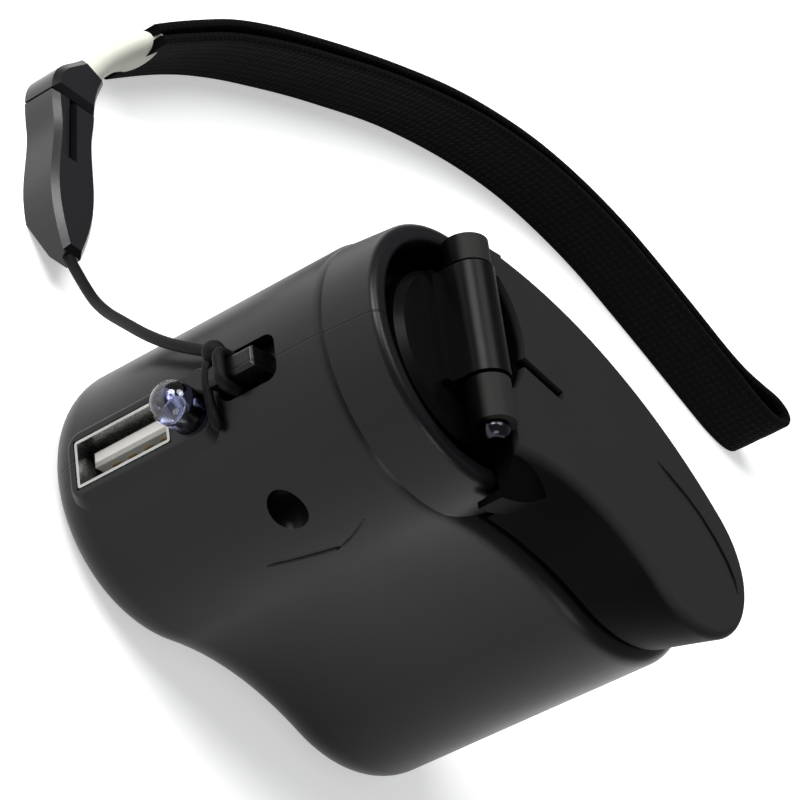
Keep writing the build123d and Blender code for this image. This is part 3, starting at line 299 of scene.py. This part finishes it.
# thin round beads, in mm: a moulded line on the case's side, a dark line on the arm's face that is painted
# shade along its bevel crease, and the string's cut tail at its knot
beads = {
    "caseLine": {
        "radius": 0.24,
        "points": [(-4.3, -15.63, 20.2), (-4.06, -15.68, 21.0), (-3.23, -15.87, 23.8), (-2.53, -16.0, 26.6),
                   (-2.2, -16.05, 28.0), (-2.25, -16.04, 29.2), (-2.7, -15.97, 30.6), (-3.5, -15.82, 32.2),
                   (-4.33, -15.61, 33.4)],
    },
    # painted shade: a dark line where the arm's face meets its bevel
    "armCreaseShadeLine": {
        "radius": 0.26,
        "points": [(29.0, -3.9, 49.95), (30.7, -5.0, 49.97), (33.7, -6.6, 49.97), (36.3, -8.4, 49.97),
                   (38.6, -10.7, 49.97), (40.2, -12.9, 49.97), (41.0, -14.8, 49.97), (41.2, -16.4, 49.95)],
    },
    "stringTail": {
        "radius": 0.55,
        "points": [(-17.3, 2.6, 26.2), (-17.45, 1.9, 25.7), (-17.5, 1.1, 25.3), (-17.45, 0.2, 25.1),
                   (-17.3, -0.8, 25.0), (-17.1, -1.9, 24.95), (-16.85, -3.0, 24.9), (-16.5, -4.1, 24.85),
                   (-16.1, -5.0, 24.8), (-15.85, -5.5, 24.8)],
    },
}
beadForm = {"sides": 12, "endShare": 0.35}  # each end tapers to that share of the radius


def buildBead(name, body):
    bm = bmesh.new()
    places = [Vector(point) * mm for point in beads[name]["points"]]
    radius = beads[name]["radius"] * mm
    ring = bmesh.ops.create_circle(bm, cap_ends=True, segments=beadForm["sides"], radius=radius)["verts"]
    flat = [vert.co.copy() for vert in ring]
    last = len(places) - 1
    for index, place in enumerate(places):
        forward = (places[min(index + 1, last)] - places[max(index - 1, 0)]).normalized()
        turn = forward.to_track_quat("Z", "Y")
        share = beadForm["endShare"] if index in (0, last) else 1.0
        if index:
            edges = [edge for vert in ring for edge in vert.link_edges if edge.other_vert(vert) in ring]
            made = bmesh.ops.extrude_edge_only(bm, edges=list(dict.fromkeys(edges)))["geom"]
            fresh = {item for item in made if isinstance(item, bmesh.types.BMVert)}
            around = [[edge.other_vert(vert) for edge in vert.link_edges] for vert in ring]
            ring = [next(other for other in others if other in fresh) for others in around]
        for vert, spot in zip(ring, flat):
            vert.co = place + turn @ (spot * share)
    bmesh.ops.contextual_create(bm, geom=ring)
    return makeObject(name, bm, body)


lampInside = buildLampCore()
caseLine = buildBead("caseLine", "case")
armCreaseShadeLine = buildBead("armCreaseShadeLine", "arm")
stringTail = buildBead("stringTail", "case")
print("small pieces done")

# the Mix node's sockets for colours: the one at factor 0, the one at factor 1, and the result
mixZero, mixOne, mixResult = 6, 7, 2
bumpDepth = 0.1 * mm
noiseRange = {"From Min": 0.3, "From Max": 0.7}  # where nearly all of a noise's values lie


# a noise's scale from the size in mm of what it draws
def scaleOf(size):
    return 1 / (size * mm)


waveRadians = 20  # how far the Wave node's sine runs in each unit of its scale


# a wave's scale from the spacing in mm of its bands
def waveScaleOf(spacing):
    return math.tau / (waveRadians * spacing * mm)


# Moulded, pressed and coated finishes: two close tones, roughness, grain in mm, how strongly the grain stands
# out, and the nodes that have the finish. The real grain of these moulds is near 0.05 mm, too fine to show, so
# it is drawn several times as coarse.
plastics = {
    # ABS from a polished mould: near black, with long soft highlights and a fine seam where the shells meet
    "caseAbs": {"tones": ("#050506", "#08080a"), "rough": 0.34, "grain": 0.385, "relief": 0.05, "shine": 0.21,
                "seam": {"y": -0.6, "floor": 0.04, "edge": 0.12, "colour": "#020203"},
                "nodes": ["lower_shell", "upper_shell", "strap_bar"]},
    # ABS with an etched face, an even dark grey; the sides below it fall to black, a painted shade set in their
    # colour
    "armAbs": {"tones": ("#222221", "#292928"), "rough": 0.46, "grain": 0.455, "relief": 0.08, "shine": 0.04,
               # painted shade: below a height between low and high, in mm, the sides turn to this colour
               "side": {"low": 49.0, "high": 49.7, "colour": "#030304"},
               "nodes": ["crank_arm", "knob_yoke"]},
    # ABS from a polished mould, in the collar's shade: smooth, and the darkest of the three
    "hubAbs": {"tones": ("#040405", "#070708"), "rough": 0.3, "grain": 0.417, "relief": 0.05, "shine": 0.08,
               "nodes": ["hub_disc"]},
    # acetal sleeve, worn smooth by fingers: dark with a soft gleam
    "knobAcetal": {"tones": ("#101011", "#161617"), "rough": 0.36, "grain": 0.417, "relief": 0.05,
                   "nodes": ["knob_sleeve"]},
    # nylon buckle: slick black, its bevels catch the light as bright lines
    "buckleNylon": {"tones": ("#0b0b0d", "#111113"), "rough": 0.3, "grain": 0.556, "relief": 0.08, "shine": 0.4,
                    "nodes": ["buckle_socket", "buckle_plug"]},
    # soft PVC sleeve: cream and a little waxy
    "sleevePvc": {"tones": ("#c9cabc", "#d4d5c8"), "rough": 0.5, "grain": 0.714, "relief": 0.06,
                  "nodes": ["strap_sleeve"]},
    # PBT tongue: chalky off-white, with no clear highlight
    "tonguePbt": {"tones": ("#b7b5af", "#c2c0ba"), "rough": 0.5, "grain": 0.417, "relief": 0.04,
                  "nodes": ["usb_tongue"]},
    # natural acetal gears: milky white with a greasy sheen
    "gearAcetal": {"tones": ("#dedbd0", "#e8e5dc"), "rough": 0.4, "grain": 0.417, "relief": 0.04,
                   "nodes": ["drive_gear", "first_idler", "second_idler"]},
    # glass-filled nylon plates: flat dark grey
    "plateNylon": {"tones": ("#3a3a3c", "#434345"), "rough": 0.5, "grain": 0.5, "relief": 0.06,
                   "nodes": ["lower_gear_plate", "upper_gear_plate"]},
    # nylon end cap: flat blue-black
    "capNylon": {"tones": ("#26262a", "#2f2f33"), "rough": 0.5, "grain": 0.5, "relief": 0.06,
                 "nodes": ["generator_cap"]},
    # solder mask on glass board: glossy deep green
    "boardMask": {"tones": ("#14502c", "#1a6135"), "rough": 0.35, "grain": 0.833, "relief": 0.05,
                  "nodes": ["circuit_board"]},
    # shrunk PVC sleeve: tight and shiny navy
    "capacitorSleeve": {"tones": ("#18244a", "#1f2e5c"), "rough": 0.28, "grain": 0.625, "relief": 0.03,
                        "nodes": ["smoothing_capacitor"]},
    # pressed and fired ferrite: dull and slightly rough
    "coilFerrite": {"tones": ("#3a3936", "#474541"), "rough": 0.6, "grain": 0.625, "relief": 0.1,
                    "nodes": ["boost_coil"]},
    # moulded epoxy: matt charcoal
    "chipEpoxy": {"tones": ("#17181a", "#202124"), "rough": 0.55, "grain": 0.385, "relief": 0.1,
                  "nodes": ["board_chips"]},
    # vinyl insulation: smooth, bright red
    "wireVinyl": {"tones": ("#a01d18", "#b02a22"), "rough": 0.35, "grain": 0.625, "relief": 0.03,
                  "nodes": ["generator_wires"]},
    # braided polyester: black with a dry, slightly knobbly surface
    "cordPolyester": {"tones": ("#030304", "#08080a"), "rough": 0.6, "grain": 0.3125, "relief": 0.5,
                      "shine": 0.12, "nodes": ["string_knot"]},
    # pressed carbon: sooty and dull
    "carbonBlock": {"tones": ("#2b2b2b", "#383838"), "rough": 0.6, "grain": 0.333, "relief": 0.2,
                    "nodes": ["brushes"]},
    # ground ferrite magnet: dark grey stone
    "magnetFerrite": {"tones": ("#333336", "#3f3f43"), "rough": 0.6, "grain": 0.385, "relief": 0.15,
                      "nodes": ["field_magnets"]},
}
plasticForm = {"ior": 1.49, "shine": 0.5, "cloud": 14.3, "glossDown": 0.04, "glossUp": 0.05}
seamBump = {"strength": 0.6, "depth": 0.2 * mm}


# the parting line of the two shells: a dark groove at one height of Y
def addSeam(tree, place, colour, relief, seam):
    apart = addNode(tree, "ShaderNodeSeparateXYZ", {"Vector": place})
    offset = addNode(tree, "ShaderNodeMath", {0: apart.outputs["Y"], 1: -seam["y"] * mm}, operation="ADD")
    distance = addNode(tree, "ShaderNodeMath", {0: offset.outputs[0]}, operation="ABSOLUTE")
    groove = addNode(tree, "ShaderNodeMapRange", {"Value": distance.outputs[0], "From Min": seam["floor"] * mm,
                                                  "From Max": seam["edge"] * mm, "To Min": 0.0, "To Max": 1.0})
    dark = addNode(tree, "ShaderNodeMix", {"Factor": groove.outputs[0], mixZero: linear(seam["colour"]),
                                           mixOne: colour}, data_type="RGBA")
    bump = addNode(tree, "ShaderNodeBump", {"Height": groove.outputs[0], "Strength": seamBump["strength"],
                                            "Distance": seamBump["depth"], "Normal": relief})
    return dark.outputs[mixResult], bump.outputs["Normal"]


# painted shade: the sides below the face are painted darker, told apart by height in the part's own place
def addPaintedSideShade(tree, place, colour, side):
    apart = addNode(tree, "ShaderNodeSeparateXYZ", {"Vector": place})
    share = addNode(tree, "ShaderNodeMapRange", {"Value": apart.outputs["Z"], "From Min": side["low"] * mm,
                                                 "From Max": side["high"] * mm, "To Min": 0.0, "To Max": 1.0})
    sideShadeTone = addNode(tree, "ShaderNodeMix", {"Factor": share.outputs[0], mixZero: linear(side["colour"]),
                                           mixOne: colour}, data_type="RGBA")
    return sideShadeTone.outputs[mixResult]


# a faint cloud in colour and gloss over the whole piece, and the mould's grain as relief
def plasticMaterial(name):
    finish = plastics[name]
    shine = finish.get("shine", plasticForm["shine"])
    material, tree, shader = newMaterial(name, {"IOR": plasticForm["ior"], "Specular IOR Level": shine})
    place = addNode(tree, "ShaderNodeTexCoord").outputs["Object"]
    cloud = addNode(tree, "ShaderNodeTexNoise", {"Vector": place, "Scale": scaleOf(plasticForm["cloud"]),
                                                 "Detail": 3.0}).outputs["Fac"]
    dark, light = finish["tones"]
    tint = addNode(tree, "ShaderNodeMix", {"Factor": cloud, mixZero: linear(dark), mixOne: linear(light)},
                   data_type="RGBA")
    gloss = addNode(tree, "ShaderNodeMapRange", {"Value": cloud, **noiseRange,
                                                 "To Min": finish["rough"] - plasticForm["glossDown"],
                                                 "To Max": finish["rough"] + plasticForm["glossUp"]})
    grain = addNode(tree, "ShaderNodeTexNoise", {"Vector": place, "Scale": scaleOf(finish["grain"]),
                                                 "Detail": 2.0})
    bump = addNode(tree, "ShaderNodeBump", {"Height": grain.outputs["Fac"], "Strength": finish["relief"],
                                            "Distance": bumpDepth})
    colour, relief = tint.outputs[mixResult], bump.outputs["Normal"]
    if "seam" in finish:
        colour, relief = addSeam(tree, place, colour, relief, finish["seam"])
    # painted shade on the arm's sides
    if "side" in finish:
        colour = addPaintedSideShade(tree, place, colour, finish["side"])
    plug(tree, shader, {"Base Color": colour, "Roughness": gloss.outputs[0], "Normal": relief})
    return material


# Metals: two close tones, roughness, how many times finer the drawn lines are along each axis, and the nodes.
# The real lines are near 0.02 mm, too fine to show, so they are drawn coarser.
metals = {
    # rolled and tinned sheet: grey, with thin bright rims where it is cut
    "portTinplate": {"tones": ("#a8a8a6", "#878785"), "rough": 0.25, "finer": (1.0, 1.0, 12.0),
                     "nodes": ["usb_shell", "lamp_leads"]},
    # zinc-plated steel: cool and evenly bright
    "zincSteel": {"tones": ("#c6c7ca", "#a9abaf"), "rough": 0.34, "finer": (1.0, 1.0, 6.0),
                  "nodes": ["case_screw", "shaft_clip", "spindle_screw", "generator_can", "crank_shaft",
                            "rotor_shaft", "first_axle", "second_axle", "knob_pin"]},
    # blackened steel pin: nearly black, with one sharp glint at its end
    "pinSteel": {"tones": ("#38383d", "#2a2a2f"), "rough": 0.16, "finer": (1.0, 8.0, 1.0),
                 "nodes": ["hinge_pin"]},
    # turned brass: warm yellow with fine rings
    "turnedBrass": {"tones": ("#c9a662", "#b08e4e"), "rough": 0.3, "finer": (1.0, 1.0, 8.0),
                    "nodes": ["shaft_bush", "plate_posts", "rotor_pinion", "usb_contacts"]},
    # wound copper wire: reddish, with lines as close as the turns
    "windingCopper": {"tones": ("#b5662f", "#994f22"), "rough": 0.32, "finer": (1.0, 1.0, 30.0),
                      "nodes": ["rotor_windings", "commutator"]},
    # stacked iron sheets: grey, with lines as thin as the sheets
    "rotorIron": {"tones": ("#8b8d90", "#76787b"), "rough": 0.42, "finer": (1.0, 1.0, 30.0),
                  "nodes": ["rotor_core"]},
}
metalForm = {"line": 1.11, "stain": 4.17, "relief": 0.12, "glossDown": 0.05, "glossUp": 0.08}


def metalMaterial(name):
    finish = metals[name]
    material, tree, shader = newMaterial(name, {"Metallic": 1.0})
    place = addNode(tree, "ShaderNodeTexCoord").outputs["Object"]
    squeezed = addNode(tree, "ShaderNodeMapping", {"Vector": place, "Scale": finish["finer"]})
    lines = addNode(tree, "ShaderNodeTexNoise", {"Vector": squeezed.outputs[0],
                                                 "Scale": scaleOf(metalForm["line"]),
                                                 "Detail": 2.0}).outputs["Fac"]
    stain = addNode(tree, "ShaderNodeTexNoise", {"Vector": place, "Scale": scaleOf(metalForm["stain"]),
                                                 "Detail": 4.0}).outputs["Fac"]
    bright, dull = finish["tones"]
    tint = addNode(tree, "ShaderNodeMix", {"Factor": stain, mixZero: linear(bright), mixOne: linear(dull)},
                   data_type="RGBA")
    gloss = addNode(tree, "ShaderNodeMapRange", {"Value": lines, **noiseRange,
                                                 "To Min": finish["rough"] - metalForm["glossDown"],
                                                 "To Max": finish["rough"] + metalForm["glossUp"]})
    bump = addNode(tree, "ShaderNodeBump", {"Height": lines, "Strength": metalForm["relief"],
                                            "Distance": bumpDepth})
    plug(tree, shader, {"Base Color": tint.outputs[mixResult], "Roughness": gloss.outputs[0],
                        "Normal": bump.outputs["Normal"]})
    return material


# woven nylon: dull black, with ribs across the band, crossed by the warp threads, and a little fuzz, in mm
weave = {"tones": ("#040405", "#0d0d0e"), "rough": 0.85, "shine": 0.05, "sheen": 0.01, "sheenRough": 0.5,
         "weft": 1.122, "warp": 0.748, "fuzz": 1.11, "distortion": 0.4, "wobble": 4.0, "relief": 0.5,
         "depth": 0.2 * mm}


def webbingMaterial(name):
    material, tree, shader = newMaterial(name, {
        "Roughness": weave["rough"],
        "Specular IOR Level": weave["shine"],
        "Sheen Weight": weave["sheen"],
        "Sheen Roughness": weave["sheenRough"],
    })
    place = addNode(tree, "ShaderNodeTexCoord").outputs["UV"]
    weft, warp = [
        addNode(tree, "ShaderNodeTexWave", {"Vector": place, "Scale": waveScaleOf(weave[thread]),
                                            "Distortion": weave["distortion"], "Detail Scale": weave["wobble"]},
                bands_direction=direction).outputs["Fac"]
        for thread, direction in (("weft", "X"), ("warp", "Y"))
    ]
    cross = addNode(tree, "ShaderNodeMath", {0: weft, 1: warp}, operation="MULTIPLY").outputs[0]
    fuzz = addNode(tree, "ShaderNodeTexNoise", {"Vector": place, "Scale": scaleOf(weave["fuzz"]),
                                                "Detail": 3.0}).outputs["Fac"]
    height = addNode(tree, "ShaderNodeMath", {0: cross, 1: fuzz}, operation="ADD")
    dark, light = weave["tones"]
    tint = addNode(tree, "ShaderNodeMix", {"Factor": cross, mixZero: linear(dark), mixOne: linear(light)},
                   data_type="RGBA")
    bump = addNode(tree, "ShaderNodeBump", {"Height": height.outputs[0], "Strength": weave["relief"],
                                            "Distance": weave["depth"]})
    plug(tree, shader, {"Base Color": tint.outputs[mixResult], "Normal": bump.outputs["Normal"]})
    return material


# cast clear epoxy with a cool cast: a bead of glass that turns the cup behind it into glints
lens = {"colour": "#a9aee0", "ior": 1.52, "flow": 2.0, "roughLeast": 0.02, "roughMost": 0.08}


def clearMaterial(name):
    material, tree, shader = newMaterial(name, {"Transmission Weight": 1.0, "IOR": lens["ior"],
                                                "Base Color": linear(lens["colour"])})
    place = addNode(tree, "ShaderNodeTexCoord").outputs["Object"]
    flow = addNode(tree, "ShaderNodeTexNoise", {"Vector": place, "Scale": scaleOf(lens["flow"]), "Detail": 1.0})
    gloss = addNode(tree, "ShaderNodeMapRange", {"Value": flow.outputs["Fac"], "To Min": lens["roughLeast"],
                                                 "To Max": lens["roughMost"]})
    plug(tree, shader, {"Roughness": gloss.outputs[0]})
    return material


materials = {name: plasticMaterial(name) for name in plastics}
materials.update({name: metalMaterial(name) for name in metals})
materials["webbingNylon"] = webbingMaterial("webbingNylon")
materials["lampEpoxy"] = clearMaterial("lampEpoxy")

for finishes in (plastics, metals):
    for finishName, finish in finishes.items():
        for nodeName in finish["nodes"]:
            setMaterial(nodes[nodeName], materials[finishName])
setMaterial(nodes["lamp_lens"], materials["lampEpoxy"])
for node in nodes.values():
    smoothShade(node.data, creaseAngles["node"])

pieceFinishes = [
    (webbingFront, "webbingNylon"),
    (webbingBack, "webbingNylon"),
    (strapString, "cordPolyester"),
    (stringTail, "cordPolyester"),
    (lampInside, "portTinplate"),
    (caseLine, "caseAbs"),
    # the arm's line takes the darker hub finish as painted shade along the crease
    (armCreaseShadeLine, "hubAbs"),
]
for piece, finishName in pieceFinishes:
    setMaterial(piece, materials[finishName])
print("materials done", len(materials))

# a white table, which shows as white to the camera and in reflections, and still takes the object's shadow
table = {"halfWidth": 4.0, "colour": "#f4f4f3", "rough": 0.9, "glow": 0.42, "glowColour": "#ffffff"}


def tableMaterial(name):
    material, tree, shader = newMaterial(name, {
        "Base Color": linear(table["colour"]),
        "Roughness": table["rough"],
        "Emission Color": linear(table["glowColour"]),
    })
    rays = addNode(tree, "ShaderNodeLightPath").outputs
    seen = rays["Is Camera Ray"]
    for other in ("Is Glossy Ray", "Is Transmission Ray"):
        seen = addNode(tree, "ShaderNodeMath", {0: seen, 1: rays[other]}, operation="MAXIMUM").outputs[0]
    glow = addNode(tree, "ShaderNodeMath", {0: seen, 1: table["glow"]}, operation="MULTIPLY")
    plug(tree, shader, {"Emission Strength": glow.outputs[0]})
    return material


bm = bmesh.new()
bmesh.ops.create_grid(bm, x_segments=2, y_segments=2, size=table["halfWidth"])
floorMesh = bpy.data.meshes.new("floor")
bm.to_mesh(floorMesh)
bm.free()
floor = bpy.data.objects.new("floor", floorMesh)
bpy.context.scene.collection.objects.link(floor)
setMaterial(floor, tableMaterial("floorPaint"))

# a dim room, and soft lamps with the key from the port's side
room = {"colour": "#eceef4", "strength": 0.28}
world = bpy.data.worlds.new("studio")
world.use_nodes = True
background = world.node_tree.nodes["Background"]
background.inputs["Color"].default_value = linear(room["colour"])
background.inputs["Strength"].default_value = room["strength"]
bpy.context.scene.world = world

lamps = [
    {"name": "keyLight", "at": (-0.5, 0.35, 0.4), "aim": (0.0, 0.0, 0.03), "size": 0.35, "power": 5.0},
    {"name": "topLight", "at": (-0.15, 0.35, 0.8), "aim": (0.03, 0.02, 0.0), "size": 0.5, "power": 4.5},
    {"name": "lowLight", "at": (-0.1, -0.7, 0.25), "aim": (0.03, 0.0, 0.02), "size": 0.4, "power": 1.5},
]
for lamp in lamps:
    data = bpy.data.lights.new(lamp["name"], "AREA")
    data.shape = "DISK"
    data.size = lamp["size"]
    data.energy = lamp["power"]
    light = bpy.data.objects.new(lamp["name"], data)
    light.location = lamp["at"]
    aim = Vector(lamp["aim"]) - Vector(lamp["at"])
    light.rotation_euler = aim.to_track_quat("-Z", "Y").to_euler()
    bpy.context.scene.collection.objects.link(light)
bpy.context.scene.view_settings.view_transform = "Standard"
print("stage done")
